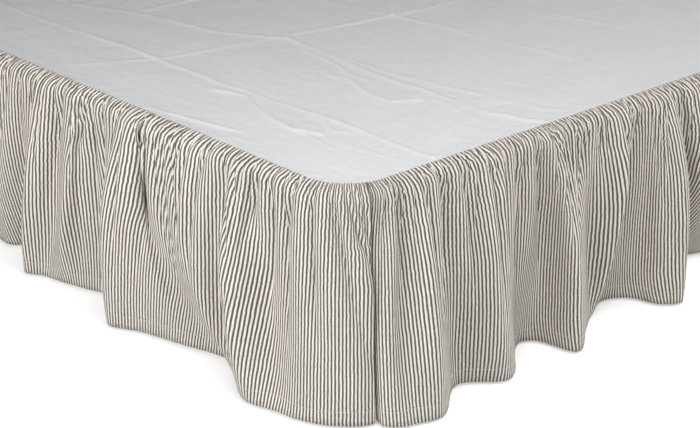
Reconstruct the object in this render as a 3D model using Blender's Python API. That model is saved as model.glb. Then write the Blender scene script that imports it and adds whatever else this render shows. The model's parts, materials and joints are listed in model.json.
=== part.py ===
"""A gathered bed skirt on a plain bed base. Metres, +Z up, the head of the bed at +Y.

The skirt has four pieces of cloth: a flat deck that lies on the base, under the mattress,
and three gathered ruffles sewn to it along the two sides and the foot. The ruffles are
split at the two foot corners. Each one leaves the deck at the seam, rolls over the rounded
edge of the base, and hangs in uneven folds to just above the floor.
The origin is on the floor, under the middle of the base.
"""
from collections import namedtuple
from itertools import accumulate
from math import asin, cos, pi, radians, sin
import random

import bmesh
import bpy
from mathutils import Vector

# Driving dimensions: a queen size base, 60 by 80 inches, and a 16 inch drop
BED_WIDTH = 1.524
BED_LENGTH = 2.032
DROP = 0.4064
HEM_HEIGHT = 0.006

# The base: a padded slab on seven round legs
FACE_GAP = 0.00375
EDGE_RADIUS = 0.025
CORNER_RADIUS = 0.098
HEAD_CORNER_RADIUS = 0.030
LEG_HEIGHT = 0.165
LEG_RADIUS = 0.025
LEG_INSET = 0.110
LEG_SIDES = 16
PIECE_GAP = 0.0003

# The cloth
CLOTH = 0.0015
SEAM_INSET = 0.022
SEAM_GAP = 0.0016
SPLIT_PLACE = 0.042
SPLIT_WIDTH = 0.005
HEAD_MARGIN = 0.004

# What follows from them
EDGE_ROLL = EDGE_RADIUS + FACE_GAP
ROLL_LENGTH = EDGE_ROLL * pi / 2
ROLL_CENTRE = HEM_HEIGHT + DROP - ROLL_LENGTH
BASE_TOP = ROLL_CENTRE + EDGE_RADIUS
DECK_MIDDLE = BASE_TOP + PIECE_GAP + CLOTH / 2
SEAM_ANGLE = asin((EDGE_RADIUS - SEAM_INSET) / (DECK_MIDDLE - ROLL_CENTRE))
HALF_CORNER = CORNER_RADIUS * pi / 4
FOOT_RUN = BED_WIDTH - 2 * CORNER_RADIUS + 2 * HALF_CORNER
SIDE_RUN = BED_LENGTH - CORNER_RADIUS + HALF_CORNER - HEAD_MARGIN

# How the sheets are divided
COLUMN_WIDTH = 0.026
ROW_SHARES = (0.0, 0.035, 0.075, 0.12, 0.19, 0.30, 0.45, 0.63, 0.82, 1.0)
CORNER_STEPS = 8
EDGE_STEPS = 4

# Small gathers under the seam
GATHER_HEIGHT = 0.004
GATHER_REACH = 0.42

# A fold line runs down the sheet from the seam to the hem. seam, mid and hem are its
# distances along the edge from the corner's middle, at the top, half-way down and at the
# bottom. out_mid and out_hem are how far it stands out from the face of the base.
Fold = namedtuple("Fold", "name seam mid hem out_mid out_hem")

LEFT_FOLDS = (
    Fold("corner_lip", -0.028, -0.028, -0.026, 0.023, 0.037),
    Fold("corner_face", 0.012, 0.012, 0.012, 0.022, 0.035),
    Fold("corner_crest", 0.060, 0.058, 0.045, 0.024, 0.037),
    Fold("corner_dip", 0.176, 0.150, 0.086, 0.009, 0.044),
    Fold("first_crest", 0.208, 0.212, 0.152, 0.046, 0.060),
    Fold("first_back", 0.246, 0.272, 0.282, 0.006, -0.005),
    Fold("small_crest", 0.338, 0.323, 0.345, 0.031, 0.015),
    Fold("wide_dip", 0.474, 0.432, 0.402, 0.012, 0.029),
    Fold("wide_face", 0.490, 0.500, 0.466, 0.030, 0.050),
    Fold("wide_crest", 0.516, 0.556, 0.530, 0.046, 0.077),
    Fold("wide_back", 0.568, 0.618, 0.606, 0.006, 0.008),
    Fold("third_dip", 0.672, 0.684, 0.690, 0.014, 0.030),
    Fold("third_crest", 0.694, 0.712, 0.745, 0.035, 0.046),
    Fold("third_back", 0.752, 0.765, 0.785, 0.014, 0.055),
    Fold("fourth_crest", 0.798, 0.828, 0.830, 0.047, 0.074),
    Fold("fourth_back", 0.856, 0.885, 0.922, 0.008, -0.004),
    Fold("fifth_crest", 0.955, 0.952, 1.050, 0.038, 0.046),
)
FOOT_FOLDS = (
    Fold("flap_crest", 0.070, 0.060, 0.058, 0.026, 0.059),
    Fold("flap_crease", 0.098, 0.078, 0.074, 0.021, 0.068),
    Fold("first_crest", 0.128, 0.135, 0.125, 0.043, 0.081),
    Fold("first_dip", 0.194, 0.201, 0.213, 0.008, 0.026),
    Fold("second_crest", 0.298, 0.285, 0.293, 0.041, 0.072),
    Fold("second_back", 0.346, 0.362, 0.394, 0.010, -0.002),
    Fold("third_dip", 0.398, 0.428, 0.424, 0.011, 0.014),
    Fold("third_crest", 0.436, 0.468, 0.452, 0.047, 0.087),
    Fold("third_back", 0.500, 0.528, 0.530, 0.018, 0.042),
    Fold("pocket_dip", 0.556, 0.570, 0.622, 0.006, -0.010),
    Fold("short_crest", 0.616, 0.606, 0.650, 0.037, -0.004),
    Fold("short_back", 0.676, 0.702, 0.688, 0.007, 0.014),
    Fold("fourth_face", 0.702, 0.730, 0.710, 0.031, 0.070),
    Fold("fourth_crest", 0.752, 0.770, 0.752, 0.052, 0.092),
    Fold("fourth_back", 0.806, 0.836, 0.900, 0.008, -0.030),
    Fold("fifth_crest", 0.840, 0.868, 0.962, 0.031, -0.018),
)
LEFT_TABLE_END = 1.050
FOOT_TABLE_END = 0.962

# The plainer folds of the stretches without a row in the tables
PLAIN_PITCH = 0.105
PLAIN_SPREAD = 0.45
PLAIN_DRIFT = 0.014
CREST_MID = (0.034, 0.050)
CREST_HEM = (0.056, 0.088)
DIP_MID = (0.006, 0.014)
DIP_HEM = (-0.004, 0.020)

MATERIALS = {
    "ticking": ((0.42, 0.41, 0.39, 1.0), 0.90),
    "deck_cloth": ((0.66, 0.66, 0.68, 1.0), 0.85),
    "base_cover": ((0.70, 0.69, 0.66, 1.0), 0.90),
    "leg_wood": ((0.22, 0.14, 0.09, 1.0), 0.55),
}


def clear_scene():
    for thing in list(bpy.data.objects):
        bpy.data.objects.remove(thing)


def make_material(name):
    colour, roughness = MATERIALS[name]
    material = bpy.data.materials.new(name)
    material.use_nodes = True
    shader = material.node_tree.nodes["Principled BSDF"]
    shader.inputs["Base Color"].default_value = colour
    shader.inputs["Roughness"].default_value = roughness
    shader.inputs["Metallic"].default_value = 0.0
    return material


def add_object(name, shape, material):
    """Turn a bmesh into a named object of the scene."""
    mesh = bpy.data.meshes.new(name)
    shape.to_mesh(mesh)
    shape.free()
    mesh.materials.append(material)
    thing = bpy.data.objects.new(name, mesh)
    bpy.context.scene.collection.objects.link(thing)
    return thing


def outline_point(place, out):
    """The plan point that stands `out` from the face of the base.

    place runs along the foot from the middle of the left corner. It is negative up the
    left side, and larger than FOOT_RUN up the right side.
    """
    if place > FOOT_RUN / 2:
        x, y = outline_point(FOOT_RUN - place, out)
        return -x, y
    centre_x = CORNER_RADIUS - BED_WIDTH / 2
    centre_y = CORNER_RADIUS - BED_LENGTH / 2
    if place > HALF_CORNER:
        return centre_x + place - HALF_CORNER, -BED_LENGTH / 2 - out
    if place < -HALF_CORNER:
        return -BED_WIDTH / 2 - out, centre_y - place - HALF_CORNER
    angle = radians(225) + place / CORNER_RADIUS
    reach = CORNER_RADIUS + out
    return centre_x + reach * cos(angle), centre_y + reach * sin(angle)


def profile(drop):
    """The sheet's path down from the seam, before any fold: its distance out from the
    face of the base, its height, and the direction that points away from the base."""
    angle = SEAM_ANGLE + drop / EDGE_ROLL
    if angle >= pi / 2:
        below = (angle - pi / 2) * EDGE_ROLL
        return FACE_GAP, ROLL_CENTRE - below, (1.0, 0.0)
    lift = DECK_MIDDLE - BASE_TOP
    settled = min(1.0, drop / (EDGE_ROLL / 2))
    reach = EDGE_RADIUS + lift + (FACE_GAP - lift) * settled
    return reach * sin(angle) - EDGE_RADIUS, ROLL_CENTRE + reach * cos(angle), (sin(angle), cos(angle))


def through_three(top, middle, bottom, depth):
    """The value at `depth` (0 at the top, 1 at the bottom) of a curve through three values."""
    return (
        top * (1 - depth) * (1 - 2 * depth)
        + middle * 4 * depth * (1 - depth)
        + bottom * depth * (2 * depth - 1)
    )


def fold_point(fold, depth):
    """Where a fold line is at a depth: its place along the outline, and how far it stands out."""
    place = through_three(fold.seam, fold.mid, fold.hem, depth)
    out = through_three(0.0, fold.out_mid - FACE_GAP, fold.out_hem - FACE_GAP, depth)
    return Vector((place, out))


def hermite(before, start, end, after, knots, share):
    """A point on the smooth curve through `start` and `end`, which are unevenly spaced."""
    span = knots[2] - knots[1]
    leaving = (end - before) / (knots[2] - knots[0]) * span
    arriving = (after - start) / (knots[3] - knots[1]) * span
    square = share * share
    cube = square * share
    return (
        start * (2 * cube - 3 * square + 1)
        + leaving * (cube - 2 * square + share)
        + end * (3 * square - 2 * cube)
        + arriving * (cube - square)
    )


def cloth_widths(folds):
    """How much cloth lies before each fold line, measured along the hem."""
    hems = [fold_point(fold, 1.0) for fold in folds]
    steps = [(b - a).length for a, b in zip(hems, hems[1:])]
    return [0.0] + list(accumulate(steps))


def column_shares(folds, widths):
    """The columns of the sheet: each is a fold line's number and a share of the way to the next."""
    shares = []
    for number, (fold, following) in enumerate(zip(folds, folds[1:])):
        widest = max(widths[number + 1] - widths[number], following.seam - fold.seam)
        count = max(1, round(widest / COLUMN_WIDTH))
        shares += [(number, step / count) for step in range(count)]
    return shares + [(len(folds) - 2, 1.0)]


def smooth_at(points, widths, number, share):
    """The point of the curve through all fold lines, at one column."""
    last = len(points) - 1
    picks = [max(0, number - 1), number, number + 1, min(last, number + 2)]
    return hermite(*[points[pick] for pick in picks], [widths[pick] for pick in picks], share)


def shallowest(height):
    """How far inward the sheet may hang: not at all beside the base, and a little below it."""
    return -0.5 * max(0.0, LEG_HEIGHT - 0.01 - height)


def ruffle_rows(folds, seed):
    """The sheet's middle surface, row by row from the seam to the hem."""
    widths = cloth_widths(folds)
    columns = column_shares(folds, widths)
    draw = random.Random(seed)
    gathers = [draw.uniform(0.4, 1.0) * (index % 2) for index in range(len(columns))]
    rows = []
    for row_share in ROW_SHARES:
        drop = row_share * (DROP - SEAM_ANGLE * EDGE_ROLL)
        face, height, away = profile(drop)
        points = [fold_point(fold, row_share) for fold in folds]
        fade = max(0.0, 1.0 - row_share / GATHER_REACH) * min(1.0, row_share / ROW_SHARES[1])
        row = []
        for (number, share), gather in zip(columns, gathers):
            place, out = smooth_at(points, widths, number, share)
            puff = GATHER_HEIGHT * gather * fade
            out = max(out, shallowest(height))
            x, y = outline_point(place, face + out + puff * away[0])
            row.append((x, y, height + puff * away[1]))
        rows.append(row)
    return rows


def add_sheet(name, rows, material):
    """A sheet of cloth: a grid of faces that point outwards, given its thickness."""
    shape = bmesh.new()
    grid = [[shape.verts.new(point) for point in row] for row in rows]
    for upper, lower in zip(grid, grid[1:]):
        for index in range(len(upper) - 1):
            shape.faces.new((upper[index], lower[index], lower[index + 1], upper[index + 1]))
    for face in shape.faces:
        face.smooth = True
    bmesh.ops.triangulate(shape, faces=shape.faces[:])
    sheet = add_object(name, shape, material)
    thickness = sheet.modifiers.new("cloth", "SOLIDIFY")
    thickness.thickness = CLOTH
    thickness.offset = 0.0
    return sheet


def plain_folds(start, stop, seed):
    """Crests and dips in turn, unevenly spaced, between two fold lines of a ruffle."""
    draw = random.Random(seed)
    count = 2 * round((stop - start) / PLAIN_PITCH / 2) + 1
    weights = [1.0 + draw.uniform(-PLAIN_SPREAD, PLAIN_SPREAD) for _ in range(count + 1)]
    reach = list(accumulate(weights))
    folds = []
    for index in range(count):
        hem = start + (stop - start) * reach[index] / reach[-1]
        crest = index % 2 == 1
        out_mid = draw.uniform(*(CREST_MID if crest else DIP_MID))
        out_hem = draw.uniform(*(CREST_HEM if crest else DIP_HEM))
        seam = hem + draw.uniform(-PLAIN_DRIFT, PLAIN_DRIFT)
        folds.append(Fold("plain", seam, (seam + hem) / 2, hem, out_mid, out_hem))
    return tuple(folds)


def end_fold(place, out_mid, out_hem):
    """The free edge of a ruffle, which hangs straight down."""
    return Fold("end", place, place, place, out_mid, out_hem)


def corner_edge(place):
    """The edge of a ruffle at a split corner, where the cloth turns in towards the base."""
    return end_fold(place, 0.011, 0.030)


def head_edge():
    """The edge of a side ruffle at the head."""
    return end_fold(SIDE_RUN, 0.014, 0.024)


def placed(folds, origin, heading):
    """The same folds with their distances made places on the outline, in rising order."""
    moved = [
        fold._replace(
            seam=origin + heading * fold.seam,
            mid=origin + heading * fold.mid,
            hem=origin + heading * fold.hem,
        )
        for fold in folds
    ]
    return moved[::heading]


def left_folds():
    start = corner_edge(SPLIT_WIDTH / 2 - SPLIT_PLACE)
    rest = plain_folds(LEFT_TABLE_END, SIDE_RUN, seed=4)
    return placed((start,) + LEFT_FOLDS + rest + (head_edge(),), 0.0, -1)


def foot_folds():
    start = corner_edge(SPLIT_PLACE + SPLIT_WIDTH / 2)
    stop = corner_edge(FOOT_RUN - SPLIT_PLACE - SPLIT_WIDTH / 2)
    rest = plain_folds(FOOT_TABLE_END, stop.hem, seed=7)
    return placed((start,) + FOOT_FOLDS + rest + (stop,), 0.0, 1)


def right_folds():
    start = corner_edge(SPLIT_WIDTH / 2 - SPLIT_PLACE)
    rest = plain_folds(LEFT_FOLDS[1].hem, SIDE_RUN, seed=11)
    return placed((start,) + LEFT_FOLDS[:2] + rest + (head_edge(),), FOOT_RUN, 1)


def rounded_ring(out):
    """The base's plan outline, `out` from its face: two large corners and two small ones."""
    half_width = BED_WIDTH / 2
    half_length = BED_LENGTH / 2
    corners = (
        (-half_width, -half_length, CORNER_RADIUS, 180),
        (half_width, -half_length, CORNER_RADIUS, 270),
        (half_width, half_length, HEAD_CORNER_RADIUS, 0),
        (-half_width, half_length, HEAD_CORNER_RADIUS, 90),
    )
    ring = []
    for x, y, radius, first in corners:
        centre_x = x - radius if x > 0 else x + radius
        centre_y = y - radius if y > 0 else y + radius
        for step in range(CORNER_STEPS + 1):
            angle = radians(first + 90 * step / CORNER_STEPS)
            reach = radius + out
            ring.append((centre_x + reach * cos(angle), centre_y + reach * sin(angle)))
    return ring


def add_stack(name, levels, material):
    """A closed body lofted through rings of one plan outline, from (out, height) levels."""
    shape = bmesh.new()
    rings = [
        [shape.verts.new((x, y, height)) for x, y in rounded_ring(out)]
        for out, height in levels
    ]
    count = len(rings[0])
    for lower, upper in zip(rings, rings[1:]):
        for index in range(count):
            following = (index + 1) % count
            shape.faces.new((lower[index], lower[following], upper[following], upper[index]))
    shape.faces.new(rings[0][::-1])
    shape.faces.new(rings[-1])
    return add_object(name, shape, material)


def add_base(material):
    """The padded slab: square below, its upper edge rounded so that cloth rolls over it."""
    levels = [(0.0, LEG_HEIGHT)]
    for step in range(EDGE_STEPS + 1):
        angle = radians(90) * step / EDGE_STEPS
        levels.append((EDGE_RADIUS * (cos(angle) - 1), ROLL_CENTRE + EDGE_RADIUS * sin(angle)))
    add_stack("bed_base", levels, material)


def add_deck(material):
    """The flat cloth on top of the base, cut to the seam all round."""
    inset = -SEAM_INSET - SEAM_GAP
    low = DECK_MIDDLE - CLOTH / 2
    add_stack("deck", [(inset, low), (inset, low + CLOTH)], material)


def add_leg(name, x, y, material):
    shape = bmesh.new()
    height = LEG_HEIGHT - PIECE_GAP
    bmesh.ops.create_cone(
        shape, cap_ends=True, segments=LEG_SIDES, radius1=LEG_RADIUS, radius2=LEG_RADIUS, depth=height
    )
    leg = add_object(name, shape, material)
    leg.location = (x, y, height / 2)


def add_legs(material):
    """Three legs down each side and one under the middle."""
    side = BED_WIDTH / 2 - LEG_INSET
    end = BED_LENGTH / 2 - LEG_INSET
    for column, x in (("left", -side), ("right", side)):
        for row, y in (("foot", -end), ("middle", 0.0), ("head", end)):
            add_leg(f"leg_{row}_{column}", x, y, material)
    add_leg("leg_centre", 0.0, 0.0, material)


def main():
    clear_scene()
    ticking = make_material("ticking")
    add_base(make_material("base_cover"))
    add_legs(make_material("leg_wood"))
    add_deck(make_material("deck_cloth"))
    add_sheet("ruffle_left", ruffle_rows(left_folds(), seed=21), ticking)
    add_sheet("ruffle_foot", ruffle_rows(foot_folds(), seed=22), ticking)
    add_sheet("ruffle_right", ruffle_rows(right_folds(), seed=23), ticking)


main()
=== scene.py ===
# %% [markdown]
# # A gathered bed skirt
#
# A bed skirt hides the base of a bed. It has a flat cloth, the deck, which lies under the
# mattress, and a gathered ruffle sewn to each side of it. This one is cut from narrow
# striped cotton. It covers the two sides and the foot, and its ruffles are split at the
# two foot corners.
#
# The solid model gives the sizes. These cells put the real cloth on it: ruffles with fine
# gathers and soft folds, a creased deck, rows of stitches, and the materials of each.

# %% Load the solid model
import json
import math

import bpy
import numpy as np
from mathutils import Matrix, Vector

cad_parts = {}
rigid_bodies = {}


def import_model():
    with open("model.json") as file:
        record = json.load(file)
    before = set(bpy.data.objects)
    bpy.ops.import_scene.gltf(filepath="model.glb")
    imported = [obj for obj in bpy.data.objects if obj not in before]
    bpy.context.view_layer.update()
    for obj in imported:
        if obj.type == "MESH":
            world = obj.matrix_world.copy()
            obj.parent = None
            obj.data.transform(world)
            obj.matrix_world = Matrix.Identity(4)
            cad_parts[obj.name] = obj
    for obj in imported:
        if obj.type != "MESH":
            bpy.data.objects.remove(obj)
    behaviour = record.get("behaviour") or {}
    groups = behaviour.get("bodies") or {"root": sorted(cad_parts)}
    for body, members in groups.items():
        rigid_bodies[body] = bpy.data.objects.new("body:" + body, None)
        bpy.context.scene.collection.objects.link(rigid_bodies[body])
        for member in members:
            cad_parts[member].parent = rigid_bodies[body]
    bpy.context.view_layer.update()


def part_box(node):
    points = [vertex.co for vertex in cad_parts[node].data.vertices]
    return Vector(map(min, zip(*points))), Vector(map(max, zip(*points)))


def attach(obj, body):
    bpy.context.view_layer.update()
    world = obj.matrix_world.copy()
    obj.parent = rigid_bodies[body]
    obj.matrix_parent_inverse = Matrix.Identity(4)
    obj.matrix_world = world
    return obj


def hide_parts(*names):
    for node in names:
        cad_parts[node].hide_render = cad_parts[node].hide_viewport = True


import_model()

# %% [markdown]
# ## Sizes
#
# Every size comes from the solid model or is a real size of the sewn thing. The base tells
# where the cloth has to roll over its edge, and the deck tells where the seam is. The
# gathers' seam allowance is thick, so it pushes the seam out a little and lifts it.

# %% Sizes of the base and the seam
base_low, base_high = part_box("bed_base")
deck_low, deck_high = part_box("deck")

BED_WIDTH = base_high.x - base_low.x
BED_LENGTH = base_high.y - base_low.y
BASE_BOTTOM = base_low.z
HEM_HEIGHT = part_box("ruffle_foot")[0].z
DECK_MIDDLE = (deck_low.z + deck_high.z) / 2
SEAM_GAP = 0.0016
SEAM_PUSH = 0.0050
SEAM_LIFT = 0.0031
SEAM_INSET = base_high.x - deck_high.x - SEAM_GAP - SEAM_PUSH
print(f"seam {SEAM_INSET * 1000:.0f} mm in from the base's edge")

# %% [markdown]
# From the seam the cloth runs straight on, slanting down over the padded edge. Then it
# turns down over a small radius and hangs plumb. One straight line and one arc describe
# that, and they give the length of cloth from the seam to any height.

# %% The straight, the turn and the drop
FACE_GAP = 0.00375
SEAM_ANGLE = math.radians(32)
TURN_RADIUS = 0.018
TURN_REACH = TURN_RADIUS * (1 - math.sin(SEAM_ANGLE))
STRAIGHT = (SEAM_INSET + FACE_GAP - TURN_REACH) / math.cos(SEAM_ANGLE)
STRAIGHT_FALL = STRAIGHT * math.sin(SEAM_ANGLE)
TURN = (math.pi / 2 - SEAM_ANGLE) * TURN_RADIUS
TURN_HEIGHT = DECK_MIDDLE + SEAM_LIFT - TURN_RADIUS * math.cos(SEAM_ANGLE) - STRAIGHT_FALL
RUFFLE_DROP = STRAIGHT + TURN + TURN_HEIGHT - HEM_HEIGHT
print(f"ruffle drop {RUFFLE_DROP:.3f} m along the cloth")

# %% [markdown]
# A place on the ruffles is a distance along the base's outline, measured from the middle of
# the front corner. The foot has positive places and the left side negative ones. The
# ruffles part a little way along the foot from each corner's middle.

# %% Lengths along the outline
CORNER_RADIUS = 0.098
HEAD_MARGIN = 0.004
SPLIT_PLACE = 0.042
SPLIT_WIDTH = 0.0030
HALF_CORNER = CORNER_RADIUS * math.pi / 4
FOOT_RUN = BED_WIDTH - 2 * CORNER_RADIUS + 2 * HALF_CORNER
SIDE_RUN = BED_LENGTH - CORNER_RADIUS + HALF_CORNER - HEAD_MARGIN
print(f"outline: foot {FOOT_RUN:.3f} m, each side {SIDE_RUN:.3f} m")

# %% [markdown]
# ## The camera
#
# The view is a three-quarter one from above the front corner, with a short telephoto lens,
# so the long sides hardly taper. A camera can be aimed with a tracking constraint, but its
# two angles say more plainly where it looks, so its matrix is built from them.

# %% Place the camera
CAMERA_AZIMUTH = math.radians(-42.10)
CAMERA_ELEVATION = math.radians(22.78)
CAMERA_PLACE = Vector((-2.024, -2.431, 1.168))
CAMERA_LENS = 71.8
SENSOR_WIDTH = 36
FARTHEST = 60


def add_camera():
    flat = math.cos(CAMERA_ELEVATION)
    back = Vector((
        math.sin(CAMERA_AZIMUTH) * flat,
        -math.cos(CAMERA_AZIMUTH) * flat,
        math.sin(CAMERA_ELEVATION),
    ))
    right = Vector((math.cos(CAMERA_AZIMUTH), math.sin(CAMERA_AZIMUTH), 0))
    camera = bpy.data.objects.new("camera", bpy.data.cameras.new("camera"))
    camera.data.lens = CAMERA_LENS
    camera.data.sensor_width = SENSOR_WIDTH
    camera.data.clip_end = FARTHEST
    camera.matrix_world = Matrix((right, back.cross(right), back)).transposed().to_4x4()
    camera.location = CAMERA_PLACE
    bpy.context.scene.collection.objects.link(camera)
    bpy.context.scene.camera = camera
    return camera


camera = add_camera()
print("camera at", [round(value, 2) for value in camera.location])

# %% [markdown]
# ## Floor
#
# The skirt stands on white. A floor bright enough to look white would also throw a lot of
# light up on the hem, so this one is pale grey and gets its whiteness from a glow that the
# Light Path node shows to the camera only. The glow lights nothing.

# %% The floor
FLOOR_HALF = 14.0
FLOOR_GREY = (0.80, 0.80, 0.80, 1)
FLOOR_GLOW = (0.45, 0.45, 0.45, 1)
FLOOR_ROUGHNESS = 0.9


def add_floor():
    mesh = bpy.data.meshes.new("studio_floor")
    corners = [(x * FLOOR_HALF, y * FLOOR_HALF, 0) for x, y in ((-1, -1), (1, -1), (1, 1), (-1, 1))]
    mesh.from_pydata(corners, [], [(0, 1, 2, 3)])
    floor = bpy.data.objects.new("studio_floor", mesh)
    bpy.context.scene.collection.objects.link(floor)
    material = bpy.data.materials.new("studio_floor")
    material.use_nodes = True
    shader = material.node_tree.nodes["Principled BSDF"]
    shader.inputs["Base Color"].default_value = FLOOR_GREY
    shader.inputs["Roughness"].default_value = FLOOR_ROUGHNESS
    shader.inputs["Emission Color"].default_value = FLOOR_GLOW
    path = material.node_tree.nodes.new("ShaderNodeLightPath")
    material.node_tree.links.new(path.outputs["Is Camera Ray"], shader.inputs["Emission Strength"])
    mesh.materials.append(material)
    return floor


floor = add_floor()
print("floor:", [round(float(side), 1) for side in floor.dimensions], "m")

# %% [markdown]
# ## Light
#
# Large soft lights stand around the front corner, as in a studio, and the strongest is high
# on the right. Low ones behind and to the right are there for the far sides of the bed. The
# world adds only a little, so that the valleys between the folds stay dark.

# %% The lights
WORLD_STRENGTH = 0.025
# name, place, the point that it faces, width and height, power in watts
LIGHTS = (
    ("side_low", (-2.8, -0.4, 1.0), (-0.8, -0.5, 0.2), (1.4, 1.0), 27),
    ("over_corner", (-0.9, -1.9, 2.2), (-0.7, -0.9, 0.2), (1.4, 1.4), 28),
    ("camera_left", (-3.4, -1.8, 1.6), (-0.7, -0.7, 0.2), (1.8, 1.4), 28),
    ("camera_right", (-0.4, -4.2, 1.5), (0.0, -0.9, 0.2), (1.8, 1.4), 24),
    ("right_high", (3.0, -2.6, 2.4), (0.0, -0.9, 0.2), (2.0, 1.8), 76),
    ("behind_low", (0.0, 4.2, 0.35), (0.0, 1.0, 0.2), (2.4, 0.4), 40),
    ("right_low", (3.8, 0.4, 0.35), (0.8, 0.1, 0.2), (2.4, 0.4), 32),
)


def add_light(name, place, target, size, power):
    data = bpy.data.lights.new(name, "AREA")
    data.shape = "RECTANGLE"
    data.size, data.size_y = size
    data.energy = power
    light = bpy.data.objects.new(name, data)
    light.location = place
    light.rotation_euler = (Vector(target) - Vector(place)).to_track_quat("-Z", "Y").to_euler()
    bpy.context.scene.collection.objects.link(light)


world = bpy.data.worlds.new("studio")
world.use_nodes = True
world.node_tree.nodes["Background"].inputs["Color"].default_value = (1, 1, 1, 1)
world.node_tree.nodes["Background"].inputs["Strength"].default_value = WORLD_STRENGTH
bpy.context.scene.world = world
bpy.context.scene.view_settings.view_transform = "Standard"
for values in LIGHTS:
    add_light(*values)
print("lights:", [name for name, *_ in LIGHTS])

# %% [markdown]
# ## The shape of a ruffle
#
# A hanging ruffle is a sheet whose every column of cloth runs from the seam, over the
# rounded edge, down to the hem. It could be simulated, but then nobody can say where its
# folds fall. Here the large folds are drawn by fold lines, crests and dips in turn, and the
# outline and the way down say where the sheet would be without them.

# %% Where a point of the outline is
FRONT_CORNER_WAY = math.radians(225)


def outline_points(place, out):
    """Plan points that stand `out` from the face of the base, from places along its outline."""
    mirrored = place > FOOT_RUN / 2
    near = np.where(mirrored, FOOT_RUN - place, place)
    centre_x = CORNER_RADIUS - BED_WIDTH / 2
    centre_y = CORNER_RADIUS - BED_LENGTH / 2
    turn = np.clip(near, -HALF_CORNER, HALF_CORNER)
    angle = FRONT_CORNER_WAY + turn / CORNER_RADIUS
    reach = CORNER_RADIUS + out
    x = centre_x + reach * np.cos(angle) + np.maximum(near - HALF_CORNER, 0)
    y = centre_y + reach * np.sin(angle) + np.maximum(-near - HALF_CORNER, 0)
    return np.where(mirrored, -x, x), y


def profile_at(drop):
    """Before any fold: distance out from the base's face, height, and the way outwards."""
    turned = (drop - STRAIGHT) / TURN_RADIUS
    if turned >= math.pi / 2 - SEAM_ANGLE:
        return FACE_GAP, TURN_HEIGHT - (drop - STRAIGHT - TURN), (1.0, 0.0)
    angle = SEAM_ANGLE + max(0.0, turned)
    away = (math.sin(angle), math.cos(angle))
    back = min(0.0, drop - STRAIGHT)
    out = FACE_GAP + TURN_RADIUS * (away[0] - 1) + back * math.cos(SEAM_ANGLE)
    return out, TURN_HEIGHT + TURN_RADIUS * away[1] - back * math.sin(SEAM_ANGLE), away


corner_x, corner_y = outline_points(np.zeros(1), 0.0)
print(f"front corner's middle at {corner_x[0]:.3f}, {corner_y[0]:.3f} m")
print("half-way down:", [round(float(value), 3) for value in profile_at(RUFFLE_DROP / 2)[:2]])

# %% [markdown]
# ### Fold lines
#
# Each row is one crest or dip. It has three places, at the seam, half-way down and at the
# hem, so a fold can lean or bend, and two distances out from the base. A crest stands out
# further than the dips beside it. The folds of real cloth are never evenly spaced, so these
# are set one by one.

# %% The folds near the front corner
# place at the seam, half-way down and at the hem; distance out half-way down and at the hem
LEFT_FOLDS = np.array([
    (-0.0405, -0.0405, -0.0405, 0.006, 0.020),
    (-0.0385, -0.038, -0.038, 0.020, 0.034),
    (0.012, 0.012, 0.012, 0.022, 0.035),
    (0.060, 0.058, 0.045, 0.024, 0.037),
    (0.176, 0.148, 0.086, 0.010, 0.044),
    (0.208, 0.190, 0.152, 0.066, 0.060),
    (0.246, 0.272, 0.238, 0.006, 0.017),
    (0.338, 0.322, 0.262, 0.044, 0.006),
    (0.474, 0.447, 0.285, 0.015, -0.004),
    (0.482, 0.467, 0.375, 0.028, 0.023),
    (0.490, 0.487, 0.466, 0.042, 0.050),
    (0.516, 0.534, 0.530, 0.066, 0.077),
    (0.568, 0.618, 0.606, 0.006, 0.008),
    (0.672, 0.680, 0.690, 0.018, 0.030),
    (0.694, 0.696, 0.745, 0.050, 0.046),
    (0.752, 0.761, 0.785, 0.018, 0.055),
    (0.798, 0.805, 0.830, 0.068, 0.074),
    (0.856, 0.884, 0.922, 0.009, -0.004),
    (0.955, 0.950, 0.972, 0.046, 0.032),
])
FOOT_FOLDS = np.array([
    (0.0435, 0.0435, 0.0435, 0.006, 0.024),
    (0.0455, 0.046, 0.046, 0.021, 0.046),
    (0.070, 0.060, 0.058, 0.026, 0.059),
    (0.098, 0.078, 0.074, 0.021, 0.068),
    (0.128, 0.118, 0.125, 0.062, 0.081),
    (0.194, 0.200, 0.213, 0.009, 0.026),
    (0.298, 0.269, 0.293, 0.058, 0.072),
    (0.346, 0.360, 0.394, 0.012, -0.002),
    (0.398, 0.430, 0.428, 0.008, 0.010),
    (0.436, 0.449, 0.452, 0.068, 0.087),
    (0.500, 0.523, 0.530, 0.024, 0.042),
    (0.556, 0.560, 0.560, 0.006, 0.024),
    (0.640, 0.592, 0.585, 0.052, 0.012),
    (0.650, 0.625, 0.640, 0.010, -0.010),
    (0.676, 0.702, 0.688, 0.008, 0.014),
    (0.702, 0.719, 0.710, 0.044, 0.070),
    (0.752, 0.749, 0.752, 0.075, 0.092),
    (0.806, 0.835, 0.900, 0.009, -0.030),
    (0.840, 0.857, 0.962, 0.044, -0.018),
])
SEAM, MID, HEM, OUT_MID, OUT_HEM = range(5)
print("folds set by hand:", len(LEFT_FOLDS), "on the left side,", len(FOOT_FOLDS), "on the foot")

# %% [markdown]
# The rest of the skirt has folds of the same kind, drawn by a seeded generator, so they are
# uneven but the same every time. Each ruffle ends in one more line at its free edge.

# %% The other folds
LINE_PITCH = 0.105
LINE_UNEVEN = 0.45
SEAM_DRIFT = 0.014
CREST_MID, DIP_MID = (0.048, 0.070), (0.006, 0.014)
CREST_HEM, DIP_HEM = (0.056, 0.088), (-0.004, 0.020)
# where the drawn folds start on each ruffle
LEFT_START, FOOT_START, RIGHT_START = 1.045, 0.962, 0.012
LEFT_DRAW, FOOT_DRAW, RIGHT_DRAW = 4, 7, 11


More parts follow.
